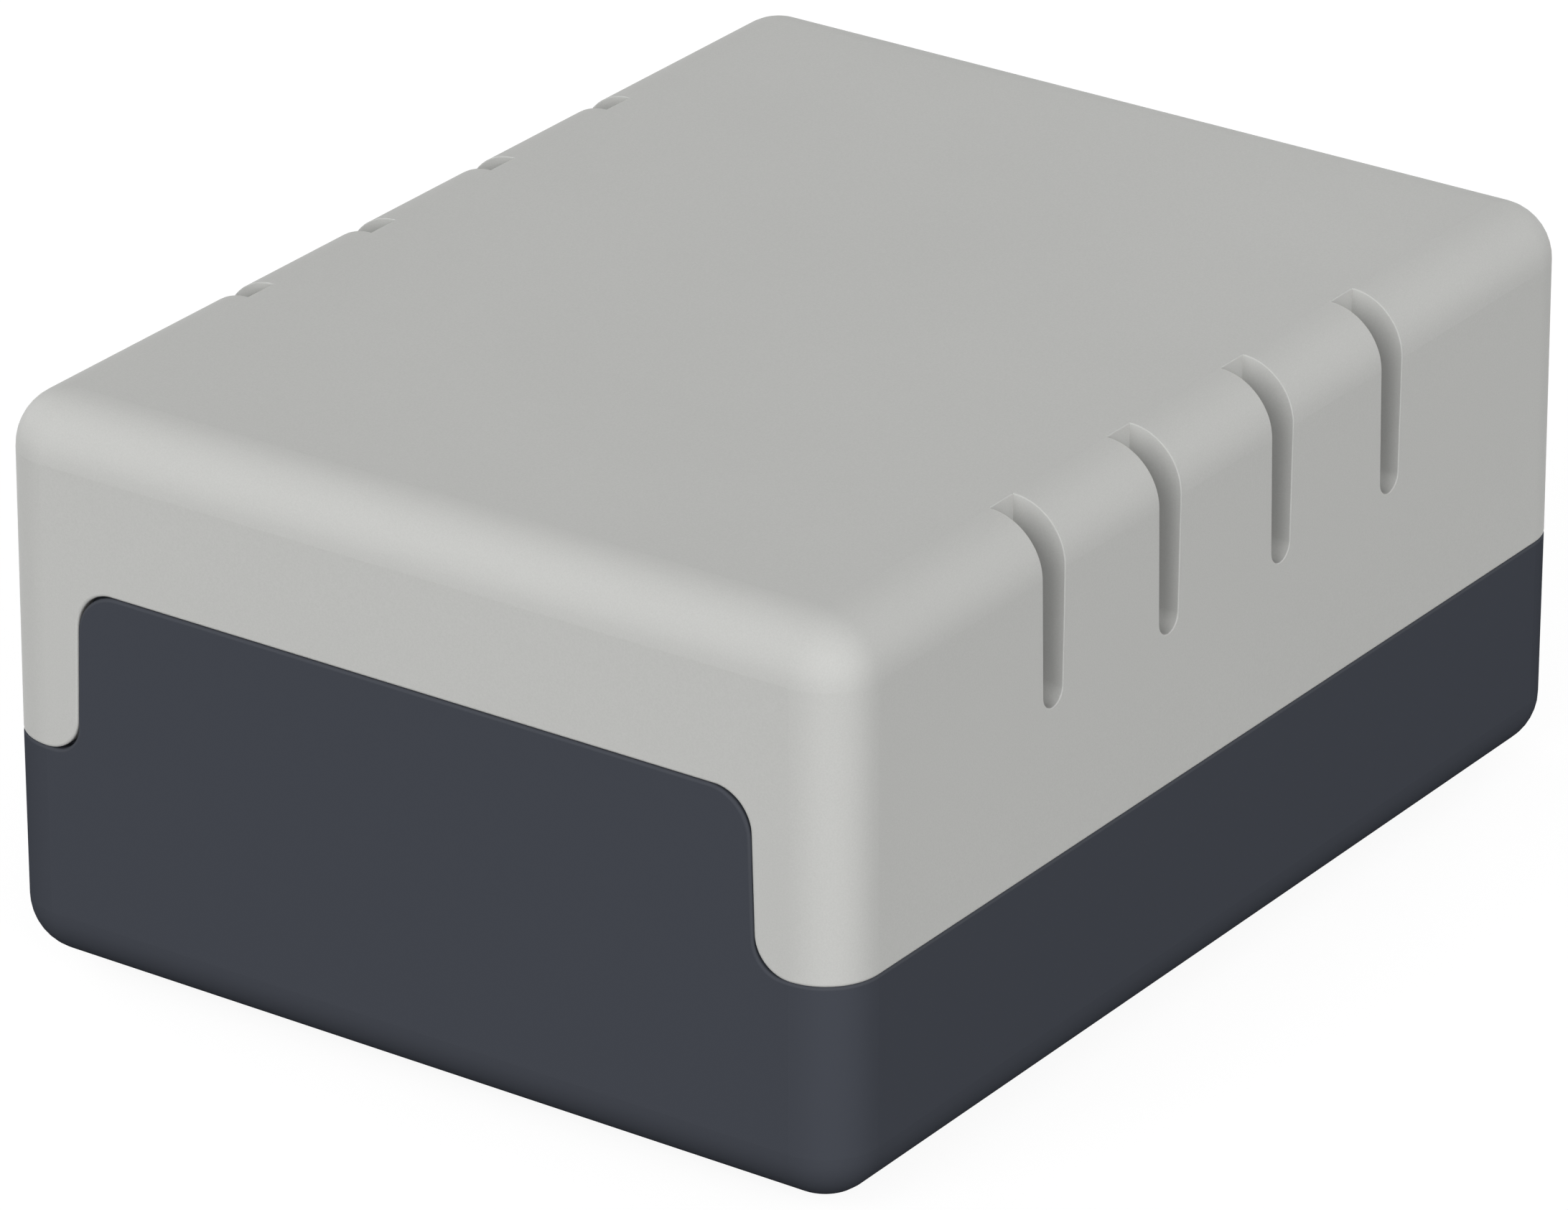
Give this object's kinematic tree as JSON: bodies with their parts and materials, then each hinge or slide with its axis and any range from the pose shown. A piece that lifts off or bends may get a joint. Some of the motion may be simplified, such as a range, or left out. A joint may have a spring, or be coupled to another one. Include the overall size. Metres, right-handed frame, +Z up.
{
  "type": "plastic project box",
  "caption": "Rectangular two-part plastic electronics enclosure with a pale upper shell, dark lower shell, side vent slots and raised end panels.",
  "frame": {"origin": "centre of the footprint, on the surface that the feet stand on", "axes": "+Z up, +Y along the length towards the rear end, -Y towards the end that the picture shows on the left, +X across the width"},
  "size_m": [0.1, 0.13, 0.0615],
  "materials": {
    "cover_plastic": "fine moulded grain, light grey",
    "base_plastic": "fine moulded grain, dark blue-grey",
    "screw_steel": "bright zinc plate",
    "foot_rubber": "matt black rubber"
  },
  "bodies": {
    "root": {"cover": "cover_plastic", "base": "base_plastic", "screw_front_left": "screw_steel", "screw_front_right": "screw_steel", "screw_rear_left": "screw_steel", "screw_rear_right": "screw_steel", "foot_front_left": "foot_rubber", "foot_front_right": "foot_rubber", "foot_rear_left": "foot_rubber", "foot_rear_right": "foot_rubber"}
  },
  "joints": []
}
